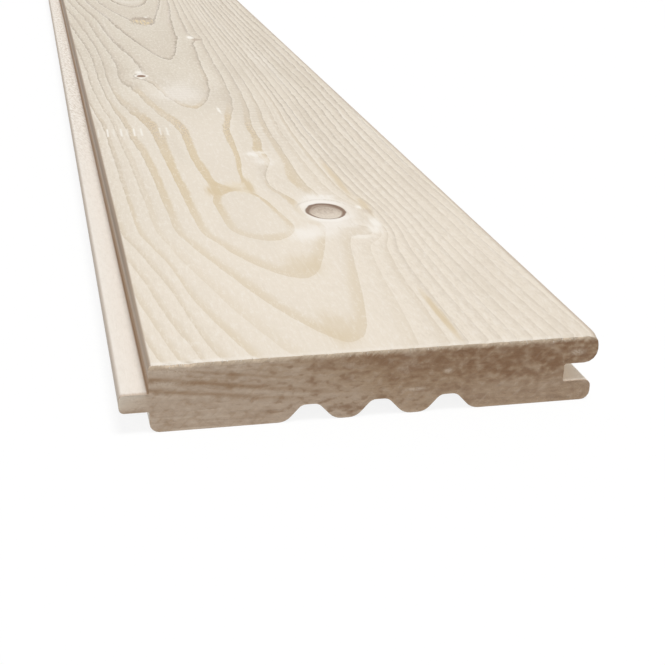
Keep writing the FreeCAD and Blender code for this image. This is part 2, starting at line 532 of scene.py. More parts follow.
def new_piece(name, points, loops, starts, materials):
    """A mesh object from whole arrays: points in mm, its faces' loops end to end, and where each starts."""
    mesh = bpy.data.meshes.new(name)
    mesh.vertices.add(len(points))
    mesh.vertices.foreach_set("co", (np.asarray(points) * MM).astype(np.float32).ravel())
    mesh.loops.add(len(loops))
    mesh.loops.foreach_set("vertex_index", loops.astype(np.int32))
    mesh.polygons.add(len(starts))
    mesh.polygons.foreach_set("loop_start", starts.astype(np.int32))
    mesh.polygons.foreach_set("use_smooth", np.ones(len(starts), bool))
    for material in materials:
        mesh.materials.append(material)
    mesh.update(calc_edges=True)
    piece = bpy.data.objects.new(name, mesh)
    bpy.context.scene.collection.objects.link(piece)
    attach(piece, "root")
    return piece


def make_board(planed_wood, sawn_wood):
    """The whole board: quads between neighbouring rows, and one face over the heart of each sawn end."""
    points, planed, outline = board_grid()
    rows, columns = points.shape[:2]
    quads = quads_between(rows, columns)
    near_heart = np.arange(columns)
    far_heart = np.arange(columns)[::-1] + (rows - 1) * columns
    loops = np.concatenate([quads.ravel(), near_heart, far_heart])
    starts = np.concatenate([np.arange(len(quads)) * 4, len(quads) * 4 + np.array([0, columns])])
    board = new_piece("board_planed", points.reshape(-1, 3), loops, starts, [planed_wood, sawn_wood])
    index = np.concatenate([np.repeat(np.where(planed, 0, 1), columns), [1, 1]])
    board.data.polygons.foreach_set("material_index", index.astype(np.int32))
    layer = board.data.uv_layers.new(name="OFBake")
    layer.data.foreach_set("uv", unfolded(points, planed, outline).astype(np.float32).ravel())
    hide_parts("board")
    return board


# Loose fibres on the sawn edges
FIBRE_COUNT = 300
FIBRE_SIDES = 4
FIBRE_RINGS = 4
FIBRE_ROOTED = 0.25
FIBRE_BELOW_FACE = 0.12
FIBRE_HALF_SECTION = (0.5, 0.3)
FIBRE_NEAR_SHARE = 0.6


def make_fibres(torn_wood):
    """Loose fibres along the face's sawn edges, as one mesh of tapering bent slivers.

    Each sliver is a narrow tube: a point goes round its small section and along its length, the section
    shrinks to a tip, and the line droops with the square of the way along.
    """
    draw = np.random.default_rng(SEED)
    across = draw.uniform(0.8, COVER_WIDTH - 0.8, FIBRE_COUNT)
    length = draw.gamma(2.0, 0.10, FIBRE_COUNT) + 0.15
    width = draw.uniform(0.10, 0.34, FIBRE_COUNT)
    sideways = draw.normal(0, 0.35, FIBRE_COUNT)
    droop = draw.uniform(0.2, 1.3, FIBRE_COUNT)
    depth = draw.gamma(1.5, 0.22, FIBRE_COUNT)
    side = np.where(draw.random(FIBRE_COUNT) < FIBRE_NEAR_SHARE, 1.0, -1.0)
    way = np.linspace(0, 1, FIBRE_RINGS)
    angle = np.arange(FIBRE_SIDES) * math.tau / FIBRE_SIDES
    thickness = (width[:, None] * np.sqrt(1.02 - way))[:, :, None]
    line_x = SHOULDER_X + across[:, None] + (sideways * length)[:, None] * way
    out = length[:, None] * way - FIBRE_ROOTED
    line_z = FACE_Z - FIBRE_BELOW_FACE - depth[:, None] - (droop * length)[:, None] * way**2
    round_x = np.cos(angle) * FIBRE_HALF_SECTION[0]
    round_z = np.sin(angle) * FIBRE_HALF_SECTION[1]
    x = line_x[:, :, None] + thickness * round_x
    z = line_z[:, :, None] + thickness * round_z
    y = np.where(side > 0, NEAR_Y, FAR_Y)[:, None, None] - side[:, None, None] * out[:, :, None] + 0.0 * x
    points = np.stack([x, y, z], axis=-1)
    points[side < 0] = points[side < 0][:, :, ::-1]
    each = FIBRE_RINGS * FIBRE_SIDES
    walls = quads_between(FIBRE_RINGS, FIBRE_SIDES)[:, [0, 3, 2, 1]]
    foot = np.arange(FIBRE_SIDES)[::-1]
    tip = np.arange(FIBRE_SIDES) + each - FIBRE_SIDES
    faces = np.concatenate([walls, foot[None], tip[None]])
    loops = (faces[None] + (np.arange(FIBRE_COUNT) * each)[:, None, None]).ravel()
    starts = np.arange(FIBRE_COUNT * len(faces)) * 4
    return new_piece("sawn_fibres", points.reshape(-1, 3), loops, starts, [torn_wood])


# Materials

def colour(red, green, blue):
    """A colour written in the 0 to 255 of a screen, as the linear one that a socket takes."""
    share = np.array([red, green, blue]) / 255
    value = np.where(share <= 0.04045, share / 12.92, ((share + 0.055) / 1.055) ** 2.4)
    return (*value.tolist(), 1.0)


EARLYWOOD = colour(231, 220, 204)
EARLYWOOD_GREY = colour(213, 203, 186)
PLAIN = colour(227, 214, 193)
LATEWOOD = colour(221, 210, 194)
LATEWOOD_GREY = colour(202, 189, 171)
RESIN = colour(211, 192, 159)
RING_EDGE_RESIN = colour(194, 173, 142)
RING_EDGE_GREY = colour(144, 125, 103)
HALO = colour(243, 237, 229)
KNOT_CORE = colour(211, 197, 181)
KNOT_RING = colour(186, 168, 150)
KNOT_DARK = colour(128, 103, 84)
PIN_DARK = colour(136, 105, 80)
TORN_GREY = colour(176, 158, 140)
TORN_RESIN = colour(225, 205, 162)
FIBRE_WHITE = colour(247, 242, 234)
MILLED = colour(242, 235, 226)
# Painted light: the groove's inside, paler than milled wood
PAINTED_GROOVE_LIGHT = colour(252, 241, 226)
# Painted shade, brown: the shoulder wall, the groove-side arris and the tongue's tip
PAINTED_SHADE_BROWN = colour(174, 153, 132)
# Painted shadow in the tongue's root
PAINTED_ROOT_SHADOW = colour(162, 128, 95)
# Painted shade on the rounded arris at the top of the shoulder wall
PAINTED_ARRIS_SHADE = colour(140, 121, 102)
END_LIGHT = colour(196, 176, 156)
END_MIDDLE = colour(177, 151, 124)
END_DARK = colour(145, 114, 88)
END_LINE = colour(156, 125, 95)
END_FLECK = colour(214, 197, 178)
FRAY = colour(236, 217, 192)


class Wire:
    """A value in a node tree: a sum or product of wires places the Math node that works it out."""

    def __init__(self, socket):
        self.socket = socket
        self.tree = socket.id_data

    def __add__(self, other):
        return maths("ADD", self, other)

    def __sub__(self, other):
        return maths("SUBTRACT", self, other)

    def __rsub__(self, other):
        return maths("SUBTRACT", other, self)

    def __mul__(self, other):
        return maths("MULTIPLY", self, other)

    def __truediv__(self, other):
        return maths("DIVIDE", self, other)

    def __rtruediv__(self, other):
        return maths("DIVIDE", other, self)

    def __abs__(self):
        return maths("ABSOLUTE", self)


def feed(node, inputs):
    """Gives each named or numbered input a value, or a link where the value is a wire."""
    for name, value in inputs.items():
        if isinstance(value, Wire):
            node.id_data.links.new(value.socket, node.inputs[name])
        else:
            node.inputs[name].default_value = value
    return node


def new_node(tree, kind, inputs, **settings):
    """A node in the tree, with its settings made and its inputs fed."""
    node = tree.nodes.new("ShaderNode" + kind)
    for name, value in settings.items():
        setattr(node, name, value)
    return feed(node, inputs)


def worked(kind, inputs, which=0, **settings):
    """One output of a new node, which goes into the tree of the wires that feed it."""
    tree = next(value.tree for value in inputs.values() if isinstance(value, Wire))
    return Wire(new_node(tree, kind, inputs, **settings).outputs[which])


def maths(operation, *values):
    """What a Math node makes of the values."""
    return worked("Math", dict(enumerate(values)), operation=operation)


def most(first, second):
    """The larger of two values."""
    return maths("MAXIMUM", first, second)


def least(first, second):
    """The smaller of two values."""
    return maths("MINIMUM", first, second)


def step(value, low, high, start=0.0, end=1.0):
    """Goes smoothly from start to end as the value goes from low to high."""
    inputs = {0: value, 1: low, 2: high, 3: start, 4: end}
    return worked("MapRange", inputs, interpolation_type="SMOOTHSTEP")


def bell(value, middle, reach):
    """1 at the middle, falling off either side of it as a bell of that reach."""
    far = (value - middle) / reach
    return maths("EXPONENT", far * far * -1.0)


def split(whole):
    """The three parts of a vector."""
    return [Wire(part) for part in new_node(whole.tree, "SeparateXYZ", {0: whole}).outputs]


def join(x, y, z):
    """A vector from its three parts."""
    return worked("CombineXYZ", {0: x, 1: y, 2: z})


def vector(operation, *values):
    """What a Vector Math node makes of the values."""
    which = "Value" if operation == "LENGTH" else "Vector"
    return worked("VectorMath", dict(enumerate(values)), which, operation=operation)


def noise(place, size, detail=2.0, rough=0.5):
    """Cloudy noise in 0 to 1 whose lumps are about size long on each axis, in mm."""
    scaled = vector("DIVIDE", place, size)
    return worked("TexNoise", {"Vector": scaled, "Scale": 1.0, "Detail": detail, "Roughness": rough})


def mix(first, second, share):
    """The first colour where the share is 0, and the second where it is 1."""
    return worked("Mix", {0: share, 6: first, 7: second}, 2, data_type="RGBA")


def place_group(group, inputs):
    """What a node group puts out, by name, for a place and its other inputs."""
    node = new_node(inputs["Place"].tree, "Group", {}, node_tree=group)
    return {part.name: Wire(part) for part in feed(node, inputs).outputs}


def new_group(name, inputs, outputs):
    """An empty shader node group with named inputs and outputs: its tree, what comes in, and its end."""
    tree = bpy.data.node_groups.new(name, "ShaderNodeTree")
    for way, labels in (("INPUT", inputs), ("OUTPUT", outputs)):
        for label, kind in labels.items():
            tree.interface.new_socket(name=label, in_out=way, socket_type="NodeSocket" + kind)
    given = {part.name: Wire(part) for part in tree.nodes.new("NodeGroupInput").outputs}
    return tree, given, tree.nodes.new("NodeGroupOutput")


def knot_group():
    """One knot: how far off a place is in knot radii, and the place drawn to it, as rings bend round it.

    The knot's middle leans away from the heart with depth, and the pull is a bell of the distance.
    """
    inputs = {"Place": "Vector", "Bent": "Vector", "Nearest": "Float"}
    inputs |= {"Centre": "Vector", "Radius": "Vector"}
    tree, given, leave = new_group("knot", inputs, {"Bent": "Vector", "Nearest": "Float"})
    across, along, depth = split(given["Place"])
    centre_across, centre_along = split(given["Centre"])[:2]
    lean = (centre_across - HEART_MIDDLE) * depth / KNOT_HEART_HEIGHT
    middle = centre_across + lean
    offset = join(across - middle, along - centre_along, 0.0)
    far = vector("LENGTH", vector("DIVIDE", offset, given["Radius"]))
    pull = maths("EXPONENT", far * far * -KNOT_GRIP)
    bent_across, bent_along, bent_depth = split(given["Bent"])
    drawn = bent_across + pull * (middle - bent_across)
    feed(leave, {"Bent": join(drawn, bent_along, bent_depth)})
    feed(leave, {"Nearest": least(given["Nearest"], far)})
    return tree


def row_centre(along, row):
    """The centre of the nearest knot of a row, by the same rhythm as the relief."""
    first, pitch, shift, middle, swing = row
    count = maths("FLOOR", (along - (first - pitch / 2)) / pitch)
    count = most(count, 0.0)
    sway = maths("SINE", count * ROW_SHIFT_TURN) * shift
    place = count * pitch + sway + first
    across = maths("SINE", count * ROW_SWING_TURN + ROW_SWING_START) * swing + middle
    return join(across, place, 0.0)


def curve(value, stops, low, high):
    """A smooth curve through the stops over the near stretch, where low and high bound what it gives."""
    node = new_node(value.tree, "FloatCurve", {})
    points = node.mapping.curves[0].points
    places = [(place / NEAR_STRETCH, (given - low) / (high - low)) for place, given in stops]
    points[0].location = places[0]
    points[1].location = places[-1]
    for place in places[1:-1]:
        points.new(*place)
    for point in points:
        point.handle_type = "AUTO_CLAMPED"
    node.mapping.update()
    feed(node, {1: least(value / NEAR_STRETCH, 1.0)})
    return Wire(node.outputs[0]) * (high - low) + low


def taper(along, fade):
    """Rings gained along the board: a curve on the near stretch, less by the edges, then a waving slope."""
    near = curve(along, TAPER, -TAPER_MOST, 1.0) * fade
    beyond = most(along - NEAR_STRETCH, 0.0)
    rings = near - beyond / FAR_ARCH_LENGTH
    for length, height in TAPER_WAVES:
        rings = rings + maths("SINE", beyond / length) * height
    return rings


def drawn_to_knots(knot, place):
    """The place across once it is drawn to every knot in turn, and how near the nearest of each kind is."""
    along = split(place)[1]
    shaky = noise(place, (5.0, 8.0, 5.0)) * 2.0 - 1.0
    shaken = vector("ADD", place, join(shaky * 0.5, shaky * -0.6, 0.0))
    bent = place
    nearest = {"Knot": FAR_FROM_KNOTS, "Pin": FAR_FROM_KNOTS}
    knots = [("Knot", (*MAIN_KNOT[:2], 0.0), MAIN_KNOT[2:])]
    knots += [("Pin", (*pin[:2], 0.0), pin[2:]) for pin in PIN_KNOTS]
    rows = (("Knot", KNOT_ROW, KNOT_ROW_HALF_WIDTH), ("Pin", PIN_ROW, PIN_ROW_HALF_WIDTH))
    for kind, row, half_width in rows:
        knots.append((kind, row_centre(along, row), (half_width, half_width * KNOT_STRETCH)))
    for kind, centre, radius in knots:
        inputs = {"Place": shaken, "Bent": bent, "Nearest": nearest[kind]}
        found = place_group(knot, inputs | {"Centre": centre, "Radius": (*radius, 1.0)})
        bent, nearest[kind] = found["Bent"], found["Nearest"]
    return split(bent)[0], nearest


def uneven_rings(rings, slope, place, across):
    """The count of rings plus broad waves, small raggedness, and uneven widths by the edges."""
    along = split(place)[1]
    loose = step(along, 600.0, 1100.0, 0.25, 0.9)
    ragged = step(along, 60.0, 420.0, 0.9, 3.0) * slope
    broad = (noise(place, (26.0, 170.0, 26.0), 1.0) - 0.5) * loose
    small = (noise(place, (3.0, 15.0, 3.0), 3.0, 0.6) - 0.5) * ragged
    rings = rings + broad + small
    aside = most(step(across, 86.0, 97.0), step(across, 16.0, 8.0, 0.0, 0.4))
    uneven = noise(join(rings, along / 260.0, 0.0), (1.7, 1.0, 1.0), 1.0)
    return rings + (uneven - 0.5) * aside * 0.9


def rings_group(knot):
    """The field of growth rings: the count of rings at a place, its slope, and how near a knot is.

    The count is the bowed distance across from the heart, over a ring's width, plus the depth over a ring's
    width, plus the taper along the board, plus bell-shaped swells and a little unevenness. The slope, in
    rings a millimetre, joins the slope of the bow with the slope of the taper, and ARCH_BROADENS thickens
    what is drawn at the arches' tips.
    """
    outputs = {"Rings": "Float", "Slope": "Float", "Knot": "Float", "Pin": "Float"}
    tree, given, leave = new_group("growth rings", {"Place": "Vector"}, outputs)
    place = given["Place"]
    along, depth = split(place)[1:]
    bent_across, nearest = drawn_to_knots(knot, place)
    beyond = most(along - NEAR_STRETCH, 0.0)
    wander = maths("SINE", beyond / HEART_WAVE) * HEART_WANDER
    heart = curve(along, HEART_LINE, 0.0, COVER_WIDTH) + wander
    from_heart = bent_across - heart
    (begin, tight), (end, wide) = TONGUE_SIDE_STRETCH
    stretch = step(along, begin, end, tight, wide)
    from_heart = from_heart * step(from_heart, -15.0, 15.0, stretch, 1.0)
    bow = maths("SQRT", from_heart * from_heart + RING_BOW ** 2)
    rings = (bow - RING_BOW) / RING_WIDTH_ACROSS
    fade = step(bent_across, *TAPER_GROOVE_FADE, 1.0, TAPER_GROOVE_SIDE)
    here = taper(along, fade)
    ahead = taper(along + SLOPE_STEP, fade)
    rings = rings + depth / RING_WIDTH_DOWN + here
    by_the_end = step(along, *CROWDED_TONGUE_REACH)
    for begin, end, more in CROWDED_TONGUE_SIDE:
        rings = rings + step(bent_across, begin, end, 0.0, more) * by_the_end
    past = most(bent_across - CROWDED_GROOVE_FROM, 0.0)
    rings = rings + past * CROWDED_GROOVE_SLOPE
    crowded = step(bent_across, 20.0, 16.0, 0.0, CROWDED_TONGUE_SLOPE) * by_the_end
    crowded = step(past, 0.0, 2.0, 0.0, CROWDED_GROOVE_SLOPE) + crowded
    slope_across = from_heart / (bow * RING_WIDTH_ACROSS)
    slope_across = abs(slope_across) + crowded
    slope_along = (ahead - here) * (ARCH_BROADENS / SLOPE_STEP)
    slope = most(vector("LENGTH", join(slope_across, slope_along, 0.0)), LEAST_SLOPE)
    for swell_across, swell_along, reach_across, reach_along, height in SWELLS:
        bells = bell(bent_across, swell_across, reach_across) * height
        rings = rings + bells * bell(along, swell_along, reach_along)
    rings = uneven_rings(rings, slope, place, bent_across)
    feed(leave, {"Rings": rings, "Slope": slope, **nearest})
    return tree


def fibre_group():
    """Fibres of the wood, all about 0.5: fine streaks along the board, clouds of tone, and fine grain."""
    outputs = {"Streak": "Float", "Cloud": "Float", "Grain": "Float"}
    tree, given, leave = new_group("wood fibre", {"Place": "Vector"}, outputs)
    place = given["Place"]
    fine = noise(place, (0.55, 16.0, 0.55), 3.0, 0.65)
    long = noise(place, (1.6, 90.0, 1.6), 2.0)
    feed(leave, {"Streak": fine * 0.6 + long * 0.4})
    feed(leave, {"Cloud": noise(place, (22.0, 75.0, 22.0), 2.0)})
    close = noise(place, (0.45, 1.8, 0.45), 1.0)
    speckle = noise(place, (1.3, 5.5, 1.3), 1.0)
    feed(leave, {"Grain": close * 0.45 + speckle * 0.55})
    return tree


def new_material(name):
    """A material, its plain shader, and the place on the board in mm: across, along and depth."""
    material = bpy.data.materials.new(name)
    material.use_nodes = True
    tree = material.node_tree
    inputs = {"Vector": Wire(new_node(tree, "TexCoord", {}).outputs["Object"])}
    inputs |= {"Location": (-SHOULDER_X, -NEAR_Y, FACE_Z), "Scale": (1 / MM, 1 / MM, -1 / MM)}
    return material, tree.nodes["Principled BSDF"], worked("Mapping", inputs)


def bump(shader, height):
    """Feeds a height in mm to the shader's normal."""
    feed(shader, {"Normal": worked("Bump", {"Height": height, "Distance": MM, "Strength": 1.0})})


def mark_group():
    """A soft mark: 1 at its centre, falling off as a bell in each direction by its reach."""
    inputs = {"Place": "Vector", "Centre": "Vector", "Reach": "Vector"}
    tree, given, leave = new_group("soft mark", inputs, {"Mask": "Float"})
    offset = vector("DIVIDE", vector("SUBTRACT", given["Place"], given["Centre"]), given["Reach"])
    far = vector("LENGTH", offset)
    feed(leave, {"Mask": maths("EXPONENT", far * far * -1.0)})
    return tree


def chatter(across, along):
    """A short row of pale ticks that a skipping knife left: narrow slanting lines over a short band."""
    ahead = along - KNIFE_TICKS_ALONG
    slanted = across - ahead * 0.03
    lines = 0.0
    for tick, share in KNIFE_TICKS:
        lines = bell(slanted, tick, 0.5) * share + lines
    return lines * step(abs(ahead), 9.0, 6.0)


def ring_tone(count):
    """A tone in 0 to 1 for each whole ring."""
    return worked("TexWhiteNoise", {"W": maths("FLOOR", count)}, noise_dimensions="1D")


def milled_colour(wood, place, milled, grain):
    """The tongue's and groove's milled walls laid over the wood: paler, rubbed, and napped further on."""
    across, along, depth = split(place)
    wood = mix(wood, MILLED, milled * 0.8)
    rubbed = milled * step(grain, 0.42, 0.72) * step(along, 150.0, 420.0, 0.12, 0.5)
    wood = mix(wood, LATEWOOD_GREY, rubbed)
    nap = noise(join(across + along * 0.24, along, depth), (0.7, 4.5, 0.7), 1.0)
    rough = milled * step(along, 180.0, 400.0)
    wood = mix(wood, LATEWOOD_GREY, rough * step(nap, 0.46, 0.34) * 0.6)
    return mix(wood, FIBRE_WHITE, rough * step(nap, 0.53, 0.64) * 0.8)


def resin_share(across, along, patchy, count, cool):
    """How far the bands are tan with resin: the inner rings of the near part, less towards both edges."""
    inner = most(step(count, 2.7, 2.05), step(across, 46.0, 30.0, 0.0, 0.8))
    resinous = step(patchy, 400.0, 300.0) * inner * step(across, 86.0, 70.0, 0.35, 1.0)
    lean = most(step(across, 8.0, 30.0, 0.3, 1.0), step(along, 230.0, 120.0, 0.0, 0.8))
    return resinous * lean * step(cool, 0.0, 1.0, 1.0, 0.1)


def band_width(across, along, fibre, soft, cool):
    """Width of the rings' dark bands in mm: broad near the end, swollen further on, and uneven."""
    swollen = bell(along, 278.0, 40.0) * step(across, 50.0, 40.0) * 2.6
    swollen = swollen + bell(along, 235.0, 70.0) * 1.2
    width = soft * 2.4 + fibre["Cloud"] * 3.0 + fibre["Grain"] * 2.4 + swollen + 0.5
    return width * step(across, 6.0, 24.0, 0.5, 1.0) * step(cool, 0.0, 1.0, 1.0, 0.35)


def fibre_colour(wood, late, fibre, lively):
    """Grain, streaks and clouds laid over the wood: darker above their middle and paler below it."""
    streak, grain = fibre["Streak"], fibre["Grain"]
    wood = mix(wood, late, step(grain, 0.5, 0.66) * lively)
    wood = mix(wood, HALO, step(grain, 0.5, 0.34) * lively)
    wood = mix(wood, late, step(streak, 0.52, 0.8) * 0.35)
    wood = mix(wood, HALO, step(streak, 0.46, 0.22) * 0.3)
    return mix(wood, late, step(fibre["Cloud"], 0.5, 0.75) * 0.25)


def ring_colour(place, rings, fibre):
    """Colour and relief of the rings: pale wood, tan bands near the end, then greyer wood with thin lines,
    each with a painted highlight just beside it.

    How far a place is from the dark outer edge of its ring, or from the pale inner one, is the share of the
    ring that is left or done, over the slope of the count, so bands and lines keep their width in mm.
    """
    across, along, depth = split(place)
    count, slope = rings["Rings"], rings["Slope"]
    cloud, grain = fibre["Cloud"], fibre["Grain"]
    phase = maths("FRACT", count)
    to_edge = (1.0 - phase) / slope
    from_edge = phase / slope
    tone = ring_tone(count)
    patchy = along + (cloud - 0.5) * 260.0
    cool = bell(across, 68.0, 4.5) * bell(along, 188.0, 32.0)
    resinous = resin_share(across, along, patchy, count, cool)
    grey = 1.0 - resinous
    soft = step(along, 200.0, 90.0)
    crisp = step(along, 130.0, 330.0, 0.2, 1.0) * step(across, 75.0, 95.0, 1.0, 0.6)
    faint = 1.0 - bell(count, 0.85, 0.35) * 0.55
    by_groove = step(across, GROOVE_ROOT - 1.0, GROOVE_ROOT + 0.5)
    milled = most(step(across, 0.6, -0.6), by_groove) * step(depth, 7.0, 8.5)
    clear = faint * step(milled, 0.0, 1.0, 1.0, 0.25)
    weight = clear * (tone * 0.55 + 0.45) * step(along, 30.0, 170.0, 0.5, 1.0)
    far = step(patchy, 40.0, 560.0)
    dull = step(across, 45.0, 12.0) * step(along, 50.0, 150.0, 0.0, 0.32)
    far = most(far * step(across, 60.0, 95.0, 1.0, 0.6), dull)
    early = mix(EARLYWOOD, EARLYWOOD_GREY, far)
    late = mix(LATEWOOD, LATEWOOD_GREY, grey)
    line = mix(RING_EDGE_RESIN, RING_EDGE_GREY, grey)
    width = least(band_width(across, along, fibre, soft, cool), 0.5 / slope)
    firm = step(soft, 0.0, 1.0, 0.7, 0.2) * step(across, 78.0, 96.0, 1.0, 0.15)
    band = step(to_edge, width, width * firm)
    broken = step(grain, 0.38, 0.54, 0.5, 1.0)
    edge_width = step(along, 250.0, 600.0, 1.0, 2.5)
    edge = step(to_edge, edge_width, 0.15) * crisp * broken
    # Painted highlight: a pale line just past each dark ring line, for the lit side of raised grain
    painted_ring_highlight = step(from_edge, 1.5, 0.2) * crisp
    wood = mix(early, late, step(phase, 0.1, 1.0) * clear * step(soft, 0.0, 1.0, 0.5, 0.3))
    wood = mix(wood, RESIN, band * resinous * clear * step(soft, 0.0, 1.0, 1.0, 0.5))
    dots = noise(place, (0.8, 2.4, 0.8), 0.0)
    specks = band * resinous * bell(along, 280.0, 32.0) * step(dots, 0.52, 0.62)
    wood = mix(wood, KNOT_RING, specks * 0.9)
    greyed = step(along, 90.0, 280.0, 0.42, 0.8) * step(across, 80.0, 100.0, 1.0, 0.75)
    wood = mix(wood, LATEWOOD_GREY, band * grey * weight * greyed)
    wood = mix(wood, line, edge * weight)
    wood = mix(wood, HALO, painted_ring_highlight * weight * 0.35)
    between = noise(join(count, along, depth), (0.55, 170.0, 30.0), 2.0)
    aside = most(far, step(across, 70.0, 90.0))
    aside = aside * clear * step(along, 60.0, 260.0, 0.35, 1.0)
    wood = mix(wood, LATEWOOD_GREY, step(between, 0.5, 0.66) * aside * 0.36)
    wood = mix(wood, HALO, step(between, 0.46, 0.3) * aside * 0.28)
    wood = fibre_colour(wood, late, fibre, step(far, 0.0, 1.0, 0.3, 0.42))
    # Painted light: the groove's milled inside is made paler, for light reaching into it
    wood = mix(milled_colour(wood, place, milled, grain), PAINTED_GROOVE_LIGHT, by_groove * milled)
    terrace = step(to_edge, 6.0, 0.0) * weight * step(along, 60.0, 280.0, 0.02, 0.07)
    return wood, terrace + between * aside * 0.05


def marked(wood, place, streak, mark_tree, marks, tint):
    """The wood with a tint laid over it in soft marks, streaked along the fibres."""
    for across, along, reach_across, reach_along, share in marks:
        inputs = {"Place": place, "Centre": (across, along, 0.0), "Reach": (reach_across, reach_along, 3.0)}
        mask = place_group(mark_tree, inputs)["Mask"] * step(streak, 0.35, 0.6, 0.55, 1.0)
        wood = mix(wood, tint, step(mask, 0.1, 0.8) * share)
    return wood


def knot_colour(wood, place, rings, fibre, grit):
    """Knots laid over the wood: a bright halo with a thin collar, a ringed core and a dark bark line."""
    knot, pin = rings["Knot"], rings["Pin"]
    streak, cloud = fibre["Streak"], fibre["Cloud"]
    across, along = split(place)[:2]
    aside = across - MAIN_KNOT[0]
    ahead = along - MAIN_KNOT[1]
    beside = step(abs(ahead), 3.0, 11.0, 0.45, 1.0)
    halo = step(knot, 1.9, 1.15) * step(cloud, 0.1, 0.45, 0.6, 1.0) * beside
    wood = mix(wood, HALO, halo * 0.95)
    collar = bell(knot, 1.5, 0.07) * step(streak, 0.35, 0.6) * step(ahead, 0.0, 9.0, 0.15, 1.0)
    wood = mix(wood, LATEWOOD_GREY, collar * 0.6)
    wood = mix(wood, FIBRE_WHITE, step(pin, 1.6, 1.0) * 0.9)
    turns = maths("SINE", knot * 17.0 + grit * 4.0)
    core = mix(KNOT_CORE, KNOT_RING, step(turns, -0.3, 0.9) * 0.4)
    core = mix(core, KNOT_DARK, step(grit, 0.55, 0.35) * 0.3)
    core = mix(core, EARLYWOOD, step(ahead, 1.0, -7.0) * 0.45)
    upper = step(ahead, -4.0, 9.0)
    core = mix(core, KNOT_DARK, upper * 0.42)
    core = mix(core, KNOT_DARK, bell(knot, 0.72, 0.06) * step(ahead, 2.0, 6.0) * 0.5)
    right = step(abs(aside), 2.0, 6.5) + step(aside, 0.0, 7.0, 0.0, 0.4)
    bark = knot + grit * 0.12 + upper * 0.14 + right * 0.1 - 0.07
    core = mix(core, KNOT_DARK, step(bark, 0.87, 1.05))
    wood = mix(wood, core, step(knot, 1.08, 0.99))
    return mix(wood, PIN_DARK, step(pin, 1.0, 0.72))


def torn_colour(wood, place, streak):
    """The torn patch laid over the wood: a ragged grey-brown band, with resin-yellow streaks before it."""
    torn_across, torn_along, half_width, half_length = TORN_PATCH
    across, along, depth = split(place)
    stripe = noise(place, (1.0, 11.0, 1.0), 1.0)
    ragged = (streak - 0.5) * 1.6 + (stripe - 0.5) * 0.9
    side = (across - torn_across) / half_width
    ahead = (along - torn_along) / half_length
    far = vector("LENGTH", join(side, ahead, depth / 3.0))
    torn = step(far + ragged, 1.0, 0.7)
    upper = step(ahead + ragged, 0.15, 0.45)
    streaked = torn * step(stripe, 0.48, 0.58) * step(upper, 1.0, 0.0)
    wood = mix(wood, TORN_GREY, torn * step(upper, 0.0, 1.0, 0.35, 0.9))
    return mix(wood, TORN_RESIN, streaked), torn


def frayed_ends(wood, place, streak):
    """The last few millimetres by a sawn end: pale fraying on the face, dulled milled walls, and painted
    shade along the groove's rounded rim.
    """
    across, along, depth = split(place)
    from_end = least(along, LENGTH - along)
    frayed = step(from_end - streak * 2.6, 1.2, -0.6)
    in_groove = step(across, GROOVE_ROOT - 1.5, GROOVE_ROOT - 0.5)
    wood = mix(wood, HALO, frayed * (1.0 - in_groove) * step(across, 10.0, 40.0, 0.5, 0.2))
    milled = most(step(across, 0.0, -0.6), in_groove) * step(depth, 5.0, 6.0)
    reach = 2.4 - in_groove * 1.1
    dulled = step(from_end + (streak - 0.5) * 2.0, reach, 0.3)
    wood = mix(wood, END_LIGHT, dulled * milled * 0.9)
    # Painted shade: the groove's rounded rim at the sawn end is darkened where the lamp lights it
    rim = step(from_end, 0.9, 0.2) * in_groove * milled
    return mix(wood, END_DARK, rim * 0.6)


def painted_edge_shade(wood, place, cloud):
    """Painted shade laid over the wood: brown on the shoulder wall, the groove-side arris and the tongue's
    tip, grey on the shoulder's arris, and a painted shadow in the tongue's root.
    """
    across, along, depth = split(place)
    above_tongue = step(depth, WEAR_LAYER + 0.6, WEAR_LAYER)
    limit = step(along, 0.0, 150.0, 1.15, 1.7)
    # Painted shade: the shoulder wall, which faces away from the light, is browned
    wall = step(across, -0.5, -0.1) * step(across, limit, limit - 0.7) * above_tongue
    wood = mix(wood, PAINTED_SHADE_BROWN, wall * 0.9)
    # Painted shadow at the foot of the shoulder wall, in the tongue's root
    root = step(depth, 3.6, 6.4) * above_tongue * step(across, -0.8, -0.1)
    root = root * step(across, 1.2, 0.6) * step(cloud, 0.3, 0.6, 0.75, 0.95)
    wood = mix(wood, PAINTED_ROOT_SHADOW, root)
    # Painted shade along the rounded arris at the top of the shoulder wall
    shoulder_arris = wall * bell(depth, 0.7, 1.1) * step(along, 20.0, 120.0, 0.4, 1.0)
    wood = mix(wood, PAINTED_ARRIS_SHADE, shoulder_arris)
    # Painted shade along the rounded arris on the face's groove side
    groove_arris = step(across, COVER_WIDTH - 2.5, COVER_WIDTH - 1.0) * step(depth, 3.0, 1.0)
    wood = mix(wood, PAINTED_SHADE_BROWN, groove_arris * 0.7)
    # Painted shade on the tongue's rounded tip
    tongue_tip = step(across, 1.2 - TONGUE_LENGTH, 0.2 - TONGUE_LENGTH)
    return mix(wood, PAINTED_SHADE_BROWN, tongue_tip * 0.65)


